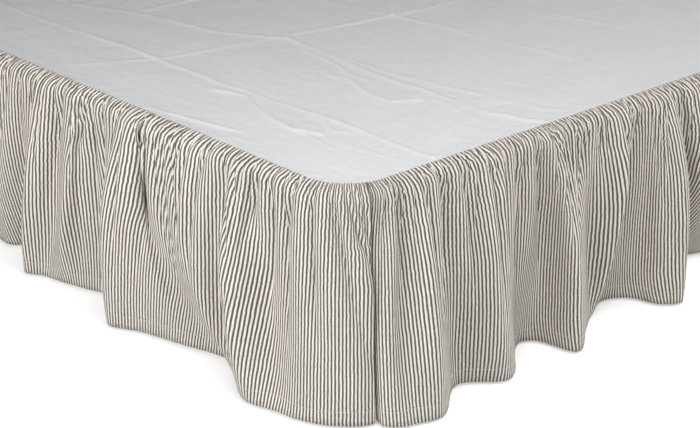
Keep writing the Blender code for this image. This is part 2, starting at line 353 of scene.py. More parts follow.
def plain_folds(start, stop, seed):
    """Crests and dips in turn, unevenly spaced, for the stretches that nothing sets apart."""
    draw = np.random.default_rng(seed)
    count = 2 * round((stop - start) / LINE_PITCH / 2) + 1
    reach = np.cumsum(1.0 + draw.uniform(-LINE_UNEVEN, LINE_UNEVEN, count + 1))
    hem = start + (stop - start) * reach[:-1] / reach[-1]
    seam = hem + draw.uniform(-SEAM_DRIFT, SEAM_DRIFT, count)
    crest = np.arange(count) % 2 == 1
    out_mid = np.where(crest, draw.uniform(*CREST_MID, count), draw.uniform(*DIP_MID, count))
    out_hem = np.where(crest, draw.uniform(*CREST_HEM, count), draw.uniform(*DIP_HEM, count))
    return np.column_stack((seam, (seam + hem) / 2, hem, out_mid, out_hem))


def edge_line(place, out_mid, out_hem):
    """The one plumb line of a free edge."""
    return np.array([(place, place, place, out_mid, out_hem)])


def placed(folds, origin, heading):
    """The folds with their distances made places on the outline, in rising order."""
    moved = folds.copy()
    moved[:, :3] = origin + heading * moved[:, :3]
    return moved[::heading]


far_corner = FOOT_RUN - SPLIT_PLACE - SPLIT_WIDTH / 2
head_edge = edge_line(SIDE_RUN, out_mid=0.014, out_hem=0.024)
corner_edge = edge_line(far_corner, out_mid=0.011, out_hem=0.030)
left_folds = np.vstack((LEFT_FOLDS, plain_folds(LEFT_START, SIDE_RUN, LEFT_DRAW), head_edge))
foot_folds = np.vstack((FOOT_FOLDS, plain_folds(FOOT_START, far_corner, FOOT_DRAW), corner_edge))
right_folds = np.vstack((LEFT_FOLDS[:3], plain_folds(RIGHT_START, SIDE_RUN, RIGHT_DRAW), head_edge))
ruffle_folds = {
    "left": placed(left_folds, 0.0, -1),
    "foot": placed(foot_folds, 0.0, 1),
    "right": placed(right_folds, FOOT_RUN, 1),
}
print("fold lines:", {name: len(folds) for name, folds in ruffle_folds.items()})

# %% [markdown]
# ### From fold lines to rows
#
# At any depth, each fold line has one point in the plan. A smooth curve through those
# points is one row of the folded cloth. Blender's own curves could be used, but a
# Catmull-Rom curve in numpy gives all the rows in a moment, and its lengths too.

# %% The curve of one row
CURVE_POINTS = 32
# how far under the base a fold may reach in, for each metre below the base's bottom
UNDER_REACH = 0.5
UNDER_GAP = 0.01


def through_three(top, middle, bottom, depth):
    """The parabola through three values, at a depth of 0 (top) to 1 (bottom)."""
    return (
        top * (1 - depth) * (1 - 2 * depth)
        + middle * 4 * depth * (1 - depth)
        + bottom * depth * (2 * depth - 1)
    )


def fold_points(folds, depth):
    """Place and distance out of every fold line, at a depth of 0 (seam) to 1 (hem)."""
    place = through_three(folds[:, SEAM], folds[:, MID], folds[:, HEM], depth)
    out = through_three(0.0, folds[:, OUT_MID] - FACE_GAP, folds[:, OUT_HEM] - FACE_GAP, depth)
    return np.column_stack((place, out))


def smooth_curve(points, widths, where):
    """The smooth curve through `points`. `where` counts fold lines, with their fractions."""
    number = np.minimum(where.astype(int), len(points) - 2)
    share = (where - number)[:, None]
    before = np.maximum(number - 1, 0)
    after = np.minimum(number + 2, len(points) - 1)
    span = (widths[number + 1] - widths[number])[:, None]
    leaving = points[number + 1] - points[before]
    leaving = leaving / (widths[number + 1] - widths[before])[:, None] * span
    arriving = (points[after] - points[number]) / (widths[after] - widths[number])[:, None] * span
    square, cube = share**2, share**3
    return (
        points[number] * (2 * cube - 3 * square + 1)
        + leaving * (cube - 2 * square + share)
        + points[number + 1] * (3 * square - 2 * cube)
        + arriving * (cube - square)
    )


def row_curve(folds, widths, drop):
    """One row's folded line: places, distances out, lengths along it, height, way outwards."""
    face, height, away = profile_at(drop)
    fine = np.linspace(0, len(folds) - 1, CURVE_POINTS * len(folds))
    curve = smooth_curve(fold_points(folds, drop / RUFFLE_DROP), widths, fine)
    deepest = -UNDER_REACH * max(0.0, BASE_BOTTOM - UNDER_GAP - height)
    out = face + np.maximum(curve[:, 1], deepest)
    x, y = outline_points(curve[:, 0], out)
    length = np.concatenate(([0.0], np.cumsum(np.hypot(np.diff(x), np.diff(y)))))
    return curve[:, 0], out, length, height, away


def fold_widths(folds):
    """How far along the hem each fold line is, in straight steps from line to line."""
    steps = np.linalg.norm(np.diff(fold_points(folds, 1.0), axis=0), axis=1)
    return np.concatenate(([0.0], np.cumsum(steps)))


for name, folds in ruffle_folds.items():
    hem_length = row_curve(folds, fold_widths(folds), RUFFLE_DROP)[2]
    print(f"{name}: {hem_length[-1]:.3f} m of cloth along the hem")

# %% [markdown]
# ### From rows to a sheet
#
# The hem is as long as the cloth is wide, so the columns of threads are evenly spaced there.
# Higher up the folds are shallower, and the same cloth has to crowd together. Each column
# hangs as plumb as the folds let it, and its neighbours share the crowding: the places of
# the columns are smoothed along the row, more so towards the seam.

# %% Rows and columns of threads
COLUMN_STEP = 0.0018
ROWS = 62
HEM_TURN = 0.025
# this share of the rows' spacing is even, and the rest grows with the depth
EVEN_ROWS = 0.35
PLUMB_REACH = 0.120
LENGTH_REACH = 0.100
LENGTH_REACH_RISE = 0.5
# a small step in, to find the way outwards
WAY_STEP = 0.01


def row_drops():
    """Distances down the cloth, closer together under the seam, with two rows for the hem."""
    share = np.linspace(0, 1, ROWS - 2)
    down = (RUFFLE_DROP - HEM_TURN) * (EVEN_ROWS * share + (1 - EVEN_ROWS) * share**2)
    return np.concatenate((down, (RUFFLE_DROP - HEM_TURN / 2, RUFFLE_DROP)))


def evened(values, reach):
    """Values that rise along the cloth, smoothed over `reach` columns, with both ends kept."""
    if reach < 1:
        return values
    left = 2 * values[0] - values[reach:0:-1]
    right = 2 * values[-1] - values[-2 : -reach - 2 : -1]
    kernel = np.hanning(2 * reach + 3)[1:-1]
    return np.convolve(np.concatenate((left, values, right)), kernel / kernel.sum(), mode="valid")


def folded_sheet(folds):
    """The sheet with its large folds, as grids of points and of the way outwards."""
    widths = fold_widths(folds)
    drops = row_drops()
    hem_place, _, hem_length, _, _ = row_curve(folds, widths, RUFFLE_DROP)
    hem_place = np.maximum.accumulate(hem_place)
    across = np.linspace(0, hem_length[-1], round(hem_length[-1] / COLUMN_STEP) + 1)
    plumb = np.interp(across, hem_length, hem_place)
    points, outwards = [], []
    for drop in drops:
        place, out, length, height, away = row_curve(folds, widths, drop)
        up = 1 - drop / RUFFLE_DROP
        places = evened(plumb, round(PLUMB_REACH * up / across[1]))
        lengths = np.interp(places, np.maximum.accumulate(place), length)
        lengths = evened(lengths, round(min(LENGTH_REACH, LENGTH_REACH_RISE * up) / across[1]))
        where, out = np.interp(lengths, length, place), np.interp(lengths, length, out)
        x, y = outline_points(where, out)
        near_x, near_y = outline_points(where, out - WAY_STEP)
        way = np.column_stack((x - near_x, y - near_y)) / WAY_STEP * away[0]
        points.append(np.column_stack((x, y, np.full_like(x, height))))
        outwards.append(np.column_stack((way, np.full_like(x, away[1]))))
    return np.array(points), np.array(outwards), across, drops


print("rows:", ROWS, "and the first three at", [round(float(drop), 4) for drop in row_drops()[:3]])

# %% [markdown]
# ## Gathers
#
# The ruffle is cut wider than the edge it is sewn to, and a thread draws the spare width
# into small gathers. They roll over the edge and join into wider ones below. A cloth
# simulation could find them, but it is slow and hard to steer at this size. So the valleys
# between the gathers are drawn instead. Each one starts at the seam and leans a little, and
# where it meets its neighbour the two go on as one.

# %% The valleys between the gathers
GATHER_PITCH = 0.0130
GATHER_UNEVEN = 0.45
GATHER_LEAN = 0.50
JOINED_LEAN = 0.14


def join_valleys(places, slopes, groups, draw):
    """Valleys that have met go on as one."""
    for line in range(1, len(places)):
        if groups[line] != groups[line - 1] and places[line] <= places[line - 1]:
            both = (groups == groups[line]) | (groups == groups[line - 1])
            places[both] = places[both].mean()
            slopes[both] = 0.5 * slopes[both].mean() + draw.uniform(-JOINED_LEAN, JOINED_LEAN)
            groups[both] = groups[line - 1]


def valley_lines(width, drops, draw):
    """Where each valley is in every row, as places[row, valley] across the cloth."""
    count = int(width / GATHER_PITCH)
    gaps = 1 + draw.uniform(-GATHER_UNEVEN, GATHER_UNEVEN, count)
    places = np.cumsum(gaps) * width / (count - 1) - GATHER_PITCH
    slopes = draw.uniform(-GATHER_LEAN, GATHER_LEAN, count)
    groups = np.arange(count)
    rows = [places.copy()]
    for step in np.diff(drops):
        places += slopes * step
        join_valleys(places, slopes, groups, draw)
        rows.append(places.copy())
    return np.maximum.accumulate(np.array(rows), axis=1)


print(f"a gather every {GATHER_PITCH * 1000:.0f} mm of cloth, at the seam")

# %% [markdown]
# Between two valleys the cloth rises in a rounded ridge. The ridge is as tall as its width
# allows: narrow ridges are steep, and wide ones flatten out, which a hyperbolic tangent
# gives. Further down the ridges fade into the large folds.

# %% The ridges between them
# down from the seam: the height of a gather as a share of its width, and the most it can be
GATHER_DROPS = (0.0, 0.004, 0.010, 0.020, 0.050, 0.100, 0.170, 0.250, 0.330)
GATHER_SHARES = (0.30, 0.52, 0.70, 0.70, 0.60, 0.46, 0.28, 0.10, 0.0)
GATHER_MOST = (0.0030, 0.0046, 0.0066, 0.0080, 0.0115, 0.0170, 0.0190, 0.0160, 0.0120)
WEAKEST, STRONGEST = 0.55, 1.25
# under 1, the power of a sine gives round ridges and narrow valleys
RIDGE_ROUNDNESS = 0.7
TINY = 1e-6


def gather_heights(across, drops, draw):
    """How far the gathers stand out, as heights[row, column]."""
    lines = valley_lines(across[-1], drops, draw)
    strength = draw.uniform(WEAKEST, STRONGEST, lines.shape[1])
    rows = []
    shares = np.interp(drops, GATHER_DROPS, GATHER_SHARES)
    limits = np.interp(drops, GATHER_DROPS, GATHER_MOST)
    for places, share, most in zip(lines, shares, limits):
        number = np.clip(np.searchsorted(places, across, side="right") - 1, 0, len(places) - 2)
        width = places[number + 1] - places[number]
        part = np.clip((across - places[number]) / (width + TINY), 0, 1)
        height = most * np.tanh(share * strength[number] * width / most)
        rows.append(height * np.sin(np.pi * part) ** RIDGE_ROUNDNESS)
    return np.array(rows)


print("tallest at each drop:", dict(zip(GATHER_DROPS, GATHER_MOST)))

# %% [markdown]
# The ridges are added to the sheet along its way outwards. Away from the seam the sheet sinks
# by most of their mean height, so that they lie in the large folds and not on them. Threads
# can't stretch, so last each row's points are spaced evenly along the line they now follow.

# %% Gather a sheet
SINK = 0.8
SINK_DROP = 0.05
THREAD_REACH = 0.070


def evenly_threaded(row, reach):
    """The same line with its points evenly spaced along it, within `reach` points of each."""
    length = np.concatenate(([0.0], np.cumsum(np.linalg.norm(np.diff(row, axis=0), axis=1))))
    even = evened(length, reach)
    return np.column_stack([np.interp(even, length, row[:, axis]) for axis in range(3)])


def gathered_sheet(folds, seed):
    """A ruffle's cloth: its points, and how far along and down the cloth each one is."""
    draw = np.random.default_rng(seed)
    target, outwards, across, drops = folded_sheet(folds)
    heights = gather_heights(across, drops, draw)
    sink = SINK * (1 - np.exp(-((drops / SINK_DROP) ** 2)))[:, None]
    ripple = heights - sink * heights.mean(axis=1, keepdims=True)
    points = target + outwards * ripple[..., None]
    reach = round(THREAD_REACH / across[1])
    points = np.array([evenly_threaded(row, reach) for row in points])
    return points, across, drops


FIRST_SEED = 100
sheets = {}
for seed, (name, folds) in enumerate(ruffle_folds.items()):
    sheets[name] = gathered_sheet(folds, FIRST_SEED + seed)
    points, across, _ = sheets[name]
    steps = np.linalg.norm(np.diff(points, axis=1), axis=2) / across[1]
    print(f"{name}: threads {steps.mean():.3f} +- {steps.std():.3f} of a step apart")

# %% [markdown]
# ## Hems and turned edges
#
# A cut edge frays, so it is turned in. A Solidify modifier could give the edge its
# thickness, but a real hem is the same cloth, bent back behind itself. So three more columns
# at each side edge and three more rows at the hem lie just behind the cloth.

# %% Turn the hem and the edges in
EDGE_TURN = 0.010
FOLD_THICKNESS = 0.0018
TURN_STEP = 0.001
NO_LENGTH = 1e-12


def grid_normals(points):
    """The way out of the cloth at each point of a grid."""
    along = np.gradient(points, axis=1)
    down = np.gradient(points, axis=0)
    normal = np.cross(down, along)
    return normal / (np.linalg.norm(normal, axis=2, keepdims=True) + NO_LENGTH)


def with_turned_edges(points, across, drops):
    """The cloth turned in at its two side edges and turned up inside along its hem."""
    inside = points - grid_normals(points) * FOLD_THICKNESS
    turn = max(1, round(EDGE_TURN / across[1]))
    reach = (0, turn // 2, turn)
    left = np.stack([inside[:, column] for column in reach[::-1]], axis=1)
    right = np.stack([inside[:, -1 - column] for column in reach], axis=1)
    wide = np.concatenate((left, points, right), axis=1)
    steps = np.array(reach) * across[1]
    across = np.concatenate((-TURN_STEP - steps[::-1], across, across[-1] + TURN_STEP + steps))
    inside = wide - grid_normals(wide) * FOLD_THICKNESS
    tall = np.concatenate((wide, inside[-1:-4:-1]))
    turned = drops[-1] + TURN_STEP + (drops[-1] - drops[-1:-4:-1])
    return tall, across, np.concatenate((drops, turned))


hemmed = {name: with_turned_edges(*sheet) for name, sheet in sheets.items()}
print("rows and columns:", {name: points.shape[:2] for name, (points, _, _) in hemmed.items()})

# %% [markdown]
# The grid of points is now made a mesh. Its UV map holds distances across and down the
# cloth, in metres, so a woven stripe can follow every fold. The line where the hem will be
# sewn is kept for its stitches.

# %% Make the three ruffles
# the row where the hem turns, counted from the last
STITCH_ROW = -3
STITCH_LIFT = 0.0003


def sheet_mesh(name, points, across, drops):
    """A grid of points as a mesh, with distances across and down the cloth as its UV map."""
    rows, columns = points.shape[:2]
    index = np.arange(rows * columns).reshape(rows, columns)
    corners = (index[:-1, :-1], index[1:, :-1], index[1:, 1:], index[:-1, 1:])
    faces = np.stack(corners, axis=-1).reshape(-1, 4)
    mesh = bpy.data.meshes.new(name)
    mesh.from_pydata(points.reshape(-1, 3).tolist(), [], faces.tolist())
    cloth = np.stack(np.meshgrid(across, drops), axis=-1).reshape(-1, 2)
    layer = mesh.uv_layers.new(name="cloth")
    layer.data.foreach_set("uv", cloth[faces.reshape(-1)].ravel())
    mesh.shade_smooth()
    piece = bpy.data.objects.new(name, mesh)
    bpy.context.scene.collection.objects.link(piece)
    return piece


ruffles = {}
hem_lines = {}
for name, (points, _, _) in sheets.items():
    hem_lines[name] = (points + grid_normals(points) * STITCH_LIFT)[STITCH_ROW]
    cloth, cloth_across, cloth_drops = hemmed[name]
    piece = sheet_mesh(f"ruffle_cloth_{name}", cloth, cloth_across, cloth_drops)
    ruffles[name] = piece
    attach(piece, "root")
    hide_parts(f"ruffle_{name}")

# %% [markdown]
# ## Materials
#
# A material can be painted or built from nodes. Nodes are used here, because a weave of half
# a millimetre on metres of cloth would need a huge picture. First come a few helpers that
# add a node, fill its inputs, and hand back its output.

# %% Helpers for node trees
FLOAT, VECTOR = "NodeSocketFloat", "NodeSocketVector"


def fill(tree, socket, source):
    """Join a socket to its source, or give it a value."""
    if isinstance(source, bpy.types.NodeSocket):
        tree.links.new(source, socket)
    else:
        socket.default_value = source


def wire(tree, kind, *sources, **settings):
    """Add a node, set it up, and join or fill its inputs in order."""
    made = tree.nodes.new(kind)
    for name, value in settings.items():
        setattr(made, name, value)
    for socket, source in zip(made.inputs, sources):
        fill(tree, socket, source)
    return made


def math_of(tree, operation, *sources):
    return wire(tree, "ShaderNodeMath", *sources, operation=operation).outputs[0]


def vector_of(tree, operation, *sources):
    return wire(tree, "ShaderNodeVectorMath", *sources, operation=operation).outputs[0]


def scaled_by(tree, vector, scale):
    """A vector or a colour, each of its parts multiplied by one number."""
    node = wire(tree, "ShaderNodeVectorMath", vector, operation="SCALE")
    fill(tree, node.inputs["Scale"], scale)
    return node.outputs[0]


def spread_of(tree, value, low, high, to_low, to_high, smooth=False):
    """A value between low and high, spread from to_low to to_high and held there."""
    kind = "SMOOTHSTEP" if smooth else "LINEAR"
    node = wire(
        tree, "ShaderNodeMapRange", value, low, high, to_low, to_high, interpolation_type=kind
    )
    return node.outputs[0]


def noise_of(tree, vector, scale, detail=2.0, roughness=0.5, output="Fac"):
    node = tree.nodes.new("ShaderNodeTexNoise")
    values = {"Vector": vector, "Scale": scale, "Detail": detail, "Roughness": roughness}
    for name, value in values.items():
        fill(tree, node.inputs[name], value)
    return node.outputs[output]


def blend_of(tree, share, first, second):
    """The first colour where share is 0, and the second where it is 1."""
    node = tree.nodes.new("ShaderNodeMix")
    node.data_type = "RGBA"
    for number, source in ((0, share), (6, first), (7, second)):
        fill(tree, node.inputs[number], source)
    return node.outputs[2]


def new_group(name, inputs, outputs):
    """A shader node group. inputs: name -> (kind, value); outputs: name -> kind."""
    tree = bpy.data.node_groups.new(name, "ShaderNodeTree")
    for label, (kind, value) in inputs.items():
        socket = tree.interface.new_socket(label, in_out="INPUT", socket_type=kind)
        if value is not None:
            socket.default_value = value
    for label, kind in outputs.items():
        tree.interface.new_socket(label, in_out="OUTPUT", socket_type=kind)
    return tree, tree.nodes.new("NodeGroupInput"), tree.nodes.new("NodeGroupOutput")


def use_group(tree, group, **values):
    """Put a group in a tree, with its inputs by name."""
    node = tree.nodes.new("ShaderNodeGroup")
    node.node_tree = group
    for name, value in values.items():
        fill(tree, node.inputs[name], value)
    return node


print("sockets of a group:", FLOAT, VECTOR)

# %% [markdown]
# Three small node groups are shared by the cloths. The first draws a plain weave: yarns
# that go over and under each other, each a little lighter or darker than the next. Two sine
# waves do that better than noise, because a weave repeats.

# %% The plain weave
SLUB_SCALE = 900.0
SLUB_STRETCH = 0.012


def plain_weave():
    """Over and under yarns of a plain weave, from a place on the cloth in metres."""
    tree, given, made = new_group(
        "plain_weave",
        {"Place": (VECTOR, None), "Yarn": (FLOAT, 0.00045), "Slub": (FLOAT, 0.25)},
        {"Height": FLOAT, "Shade": FLOAT},
    )
    place = given.outputs["Place"]
    parts = wire(tree, "ShaderNodeSeparateXYZ", place)
    waves = []
    for axis in (0, 1):
        count = math_of(tree, "DIVIDE", parts.outputs[axis], given.outputs["Yarn"])
        waves.append(math_of(tree, "SINE", math_of(tree, "MULTIPLY", count, math.pi)))
    over = math_of(tree, "MULTIPLY", *waves)
    tree.links.new(math_of(tree, "MULTIPLY_ADD", over, 0.5, 0.5), made.inputs["Height"])
    shades = []
    for squeeze in ((1.0, SLUB_STRETCH, 1.0), (SLUB_STRETCH, 1.0, 1.0)):
        squeezed = vector_of(tree, "MULTIPLY", place, squeeze)
        shades.append(noise_of(tree, squeezed, SLUB_SCALE, detail=1.0))
    uneven = math_of(tree, "SUBTRACT", math_of(tree, "ADD", *shades), 1.0)
    slub = math_of(tree, "MULTIPLY", uneven, given.outputs["Slub"])
    tree.links.new(math_of(tree, "ADD", slub, 1.0), made.inputs["Shade"])
    return tree


weave = plain_weave()
print("group:", weave.name, "with", len(weave.nodes), "nodes")

# %% [markdown]
# The second group is the unevenness of washed cotton: a soft crumple, and the slight change
# of tone that goes with it. The third moves a place on the cloth a little, so that nothing
# woven runs dead straight.

# %% Washed cotton and wandering yarns
TONE_SCALE = 9.0
FINE_SCALE, BROAD_SCALE = 75.0, 14.0
MIDDLE_GREY = (0.5, 0.5, 0.5)


def washed_cotton():
    """The height of the crumple, and a shade around 1."""
    tree, given, made = new_group(
        "washed_cotton",
        {"Place": (VECTOR, None), "Crumple": (FLOAT, 90.0), "Tone": (FLOAT, 0.05)},
        {"Height": FLOAT, "Shade": FLOAT},
    )
    place = given.outputs["Place"]
    crumple = noise_of(tree, place, given.outputs["Crumple"], detail=3.0)
    tree.links.new(crumple, made.inputs["Height"])
    centred = math_of(tree, "SUBTRACT", noise_of(tree, place, TONE_SCALE), 0.5)
    tone = math_of(tree, "MULTIPLY", centred, given.outputs["Tone"])
    tree.links.new(math_of(tree, "MULTIPLY_ADD", tone, 2.0, 1.0), made.inputs["Shade"])
    return tree


def wandering():
    """A place on the cloth, moved a little by soft noise."""
    tree, given, made = new_group(
        "wandering",
        {"Place": (VECTOR, None), "Fine": (FLOAT, 0.0006), "Broad": (FLOAT, 0.0012)},
        {"Place": VECTOR},
    )
    place = moved = given.outputs["Place"]
    for label, scale in (("Fine", FINE_SCALE), ("Broad", BROAD_SCALE)):
        noise = noise_of(tree, place, scale, detail=1.0, output="Color")
        centred = vector_of(tree, "SUBTRACT", noise, MIDDLE_GREY)
        moved = vector_of(tree, "ADD", moved, scaled_by(tree, centred, given.outputs[label]))
    tree.links.new(moved, made.inputs["Place"])
    return tree


washed, wander = washed_cotton(), wandering()
print("groups:", washed.name, "and", wander.name)

# %% [markdown]
# Cloth, wood and thread all start from the same plain material. Each has a coarse height and
# finer ones over it. A Bump node takes the normal of the one before it, so they are chained.

# %% A plain material and its bumps
SPECULAR = 0.25
SHEEN_ROUGHNESS = 0.6


def add_bumps(tree, shader, heights):
    """Chain bump nodes. heights: (height socket, depth in metres)."""
    normal = None
    for height, depth in heights:
        bump = tree.nodes.new("ShaderNodeBump")
        bump.inputs["Strength"].default_value = 1.0
        bump.inputs["Distance"].default_value = depth
        tree.links.new(height, bump.inputs["Height"])
        if normal is not None:
            tree.links.new(normal, bump.inputs["Normal"])
        normal = bump.outputs["Normal"]
    tree.links.new(normal, shader.inputs["Normal"])


def new_material(name, roughness, sheen=0.0):
    material = bpy.data.materials.new(name)
    material.use_nodes = True
    shader = material.node_tree.nodes["Principled BSDF"]
    shader.inputs["Roughness"].default_value = roughness
    shader.inputs["Specular IOR Level"].default_value = SPECULAR
    shader.inputs["Sheen Weight"].default_value = sheen
    shader.inputs["Sheen Roughness"].default_value = SHEEN_ROUGHNESS
    return material, material.node_tree, shader


print("every material reflects", SPECULAR, "of full specular")

# %% [markdown]
# ### Striped cotton
#
# The stripes are warp yarns: slate blue and cream, about 3 mm of each. Along a stripe's
# edge the yarns wander, and cream filling yarns show through the slate as small flecks.
# The coordinates are the cloth's own, so the stripes follow every fold.

# %% The striped cotton
STRIPE_PITCH = 0.0060
# within a repeat of 1, folded to 0.5, cream turns to slate between these
STRIPE_EDGE = (0.235, 0.275)
EDGE_RAGGED = 0.10
RAGGED_SCALE = 1400.0
# the lowest part of the weave, where cream yarns hide this much of the slate
FLECK = 0.30
STITCH_DIMPLE = 0.003
CREAM = (0.86, 0.79, 0.69, 1)
SLATE = (0.085, 0.090, 0.108, 1)


def slate_stripes(tree, place, weave_height):
    """How much slate there is at a place on the cloth, from 0 to 1."""
    wandered = use_group(tree, wander, Place=place, Fine=0.0016, Broad=0.0022).outputs[0]
    u = wire(tree, "ShaderNodeSeparateXYZ", wandered).outputs[0]
    swing = math_of(tree, "PINGPONG", math_of(tree, "DIVIDE", u, STRIPE_PITCH), 0.5)
    ragged = math_of(tree, "SUBTRACT", noise_of(tree, place, RAGGED_SCALE, detail=1.0), 0.5)
    edge = math_of(tree, "MULTIPLY_ADD", ragged, EDGE_RAGGED, swing)
    stripe = spread_of(tree, edge, *STRIPE_EDGE, 0.0, 1.0, smooth=True)
    fleck = spread_of(tree, weave_height, 0.0, FLECK, FLECK, 0.0, smooth=True)
    return math_of(tree, "MULTIPLY", stripe, math_of(tree, "SUBTRACT", 1.0, fleck))


def striped_cotton():
    material, tree, shader = new_material("striped_cotton", roughness=0.88, sheen=0.12)
    place = wire(tree, "ShaderNodeUVMap", uv_map="cloth").outputs[0]
    woven = use_group(tree, weave, Place=place, Yarn=0.00045, Slub=0.35)
    crumpled = use_group(tree, washed, Place=place, Crumple=120.0, Tone=0.05)
    colour = blend_of(tree, slate_stripes(tree, place, woven.outputs["Height"]), CREAM, SLATE)
    shade = math_of(tree, "MULTIPLY", woven.outputs["Shade"], crumpled.outputs["Shade"])
    tree.links.new(scaled_by(tree, colour, shade), shader.inputs["Base Color"])
    v = wire(tree, "ShaderNodeSeparateXYZ", place).outputs[1]
    from_stitch = math_of(tree, "ABSOLUTE", math_of(tree, "SUBTRACT", v, RUFFLE_DROP - HEM_TURN))
    sewn = spread_of(tree, from_stitch, 0.0, STITCH_DIMPLE, 0.0, 1.0, smooth=True)
    add_bumps(tree, shader, [
        (crumpled.outputs["Height"], 0.0040),
        (sewn, 0.0010),
        (woven.outputs["Height"], 0.00012),
    ])
    return material


striped = striped_cotton()
for piece in ruffles.values():
    piece.data.materials.append(striped)
print(f"{striped.name}: a stripe every {STRIPE_PITCH * 1000:.1f} mm")

# %% [markdown]
# ## The deck
#
# The deck is a plain white sheet. It came out of its pack with sharp folds in both
# directions, which still show as low ridges, and it has a few soft wrinkles. Bump nodes
# could draw them, but they turn black where the light grazes the sheet, so they are made
# in the mesh.

# %% Its creases
# rise of the crease in metres, then the points that it runs through, as x and y
CREASES = (
    (0.0033, (-0.556, 1.00), (-0.558, 0.14), (-0.546, -0.10), (-0.550, -0.44), (-0.537, -0.70),
     (-0.540, -0.99)),
    (0.0033, (-0.450, 1.00), (-0.434, 0.24), (-0.368, 0.06), (-0.347, -0.14), (-0.266, -0.29)),
    (0.0036, (-0.266, -0.29), (-0.300, -0.58), (-0.307, -0.91), (-0.280, -0.99)),
    (0.0027, (-0.266, -0.29), (-0.276, -0.58), (-0.242, -0.86), (-0.210, -0.97)),
    (0.0030, (-0.020, 1.00), (-0.006, -0.10), (0.032, -0.40), (0.046, -0.70), (0.066, -0.99)),
    (0.0024, (0.290, 1.00), (0.278, -0.38), (0.332, -0.88)),
    (0.0024, (0.590, 1.00), (0.585, -0.90)),
    (0.0024, (-0.679, -0.17), (-0.542, -0.24), (-0.264, -0.27), (0.020, -0.31), (0.720, -0.30)),
    (0.0030, (-0.700, 0.14), (-0.354, 0.09), (0.700, 0.13)),
    (0.0048, (-0.582, -0.47), (-0.564, -0.53), (-0.614, -0.67), (-0.621, -0.73), (-0.597, -0.78)),
    (0.0042, (-0.367, -0.54), (-0.360, -0.59), (-0.394, -0.68), (-0.390, -0.74), (-0.347, -0.76)),
    (0.0027, (-0.288, -0.36), (-0.309, -0.46), (-0.339, -0.57), (-0.337, -0.62)),
    (0.0027, (-0.542, -0.71), (-0.575, -0.78), (-0.557, -0.80)),
    (0.0024, (-0.616, -0.76), (-0.630, -0.85)),
    (0.0033, (-0.739, -0.45), (-0.693, -0.67)),
    (0.0021, (-0.596, -0.85), (-0.590, -0.95)),
    (0.0027, (-0.328, -0.78), (-0.297, -0.97)),
)
CREASE_WIDTH = 0.0052
# creases are wider towards the back right: a share of the width for each metre of x and y
CREASE_SPREAD = (1.2, 0.25)
CREASE_POWER = 1.5
# how far a crease wavers, and over what length
WAVER, WAVER_PITCH = 0.004, 0.07
# its rise is this much, give or take that much
FADE, FADE_PITCH = (0.75, 0.55), 0.13
FAR_OFF = 9.0
# the noise's grid covers this square, which is larger than the deck
NOISE_SPAN = 3


def soft_noise(x, y, pitch, draw):
    """Smooth noise from -1 to 1 over the plan."""
    cells = int(NOISE_SPAN / pitch) + 3
    grid = draw.uniform(-1, 1, (cells, cells))
    u, v = (x + NOISE_SPAN / 2) / pitch, (y + NOISE_SPAN / 2) / pitch
    i, j = u.astype(int), v.astype(int)
    a, b = [part * part * (3 - 2 * part) for part in (u - i, v - j)]
    low = grid[i, j] * (1 - a) + grid[i + 1, j] * a
    high = grid[i, j + 1] * (1 - a) + grid[i + 1, j + 1] * a
    return low * (1 - b) + high * b


def crease_heights(x, y, draw):
    """Sharp low ridges along the creases, each wavering and uneven along its length."""
    middle, spread = CREASE_SPREAD
    width = CREASE_WIDTH * (middle + spread * x + spread * y)
    waver = WAVER * soft_noise(x, y, WAVER_PITCH, draw)
    x, y = x + waver, y - waver
    height = np.zeros_like(x)
    for rise, *corners in CREASES:
        nearest = np.full_like(x, FAR_OFF)
        for (x0, y0), (x1, y1) in zip(corners, corners[1:]):
            run_x, run_y = x1 - x0, y1 - y0
            along = ((x - x0) * run_x + (y - y0) * run_y) / (run_x**2 + run_y**2)
            share = np.clip(along, 0, 1)
            away = np.hypot(x - x0 - share * run_x, y - y0 - share * run_y)
            nearest = np.minimum(nearest, away)
        height += rise * np.exp(-((nearest / width) ** CREASE_POWER))
    kept, change = FADE
    return height * (kept + change * soft_noise(x, y, FADE_PITCH, draw))


print("creases:", len(CREASES))

# %% [markdown]
# The sheet itself is a grid with round foot corners, drawn in where the ruffles are sewn
# on. Its steps grow away from the front corner, so the mesh is fine where the view is
# close. Near the seam it puckers, and the seam allowance lifts it.

# %% The deck's grid
DECK_STEP = 0.0059
DECK_GAP = 0.0004
DECK_SEED = 31
CORNER_ROWS = 26
EVEN_STEPS = 0.6
CALM_EDGE = 0.03
CREASE_EDGE, CREASE_LEAST = 0.012, 0.15
# depth and pitch of each softness
BROAD_SOFT, FINE_SOFT, PUCKER = (0.0012, 0.11), (0.0007, 0.045), (0.0010, 0.013)
PUCKER_EDGE = 0.030
LIFT_EDGE = 0.025
LOFT = 0.0014


def opened(count):
    """Shares from 0 to 1 whose steps grow."""
    share = np.linspace(0, 1, count + 1)
    return EVEN_STEPS * share + (1 - EVEN_STEPS) * share**2


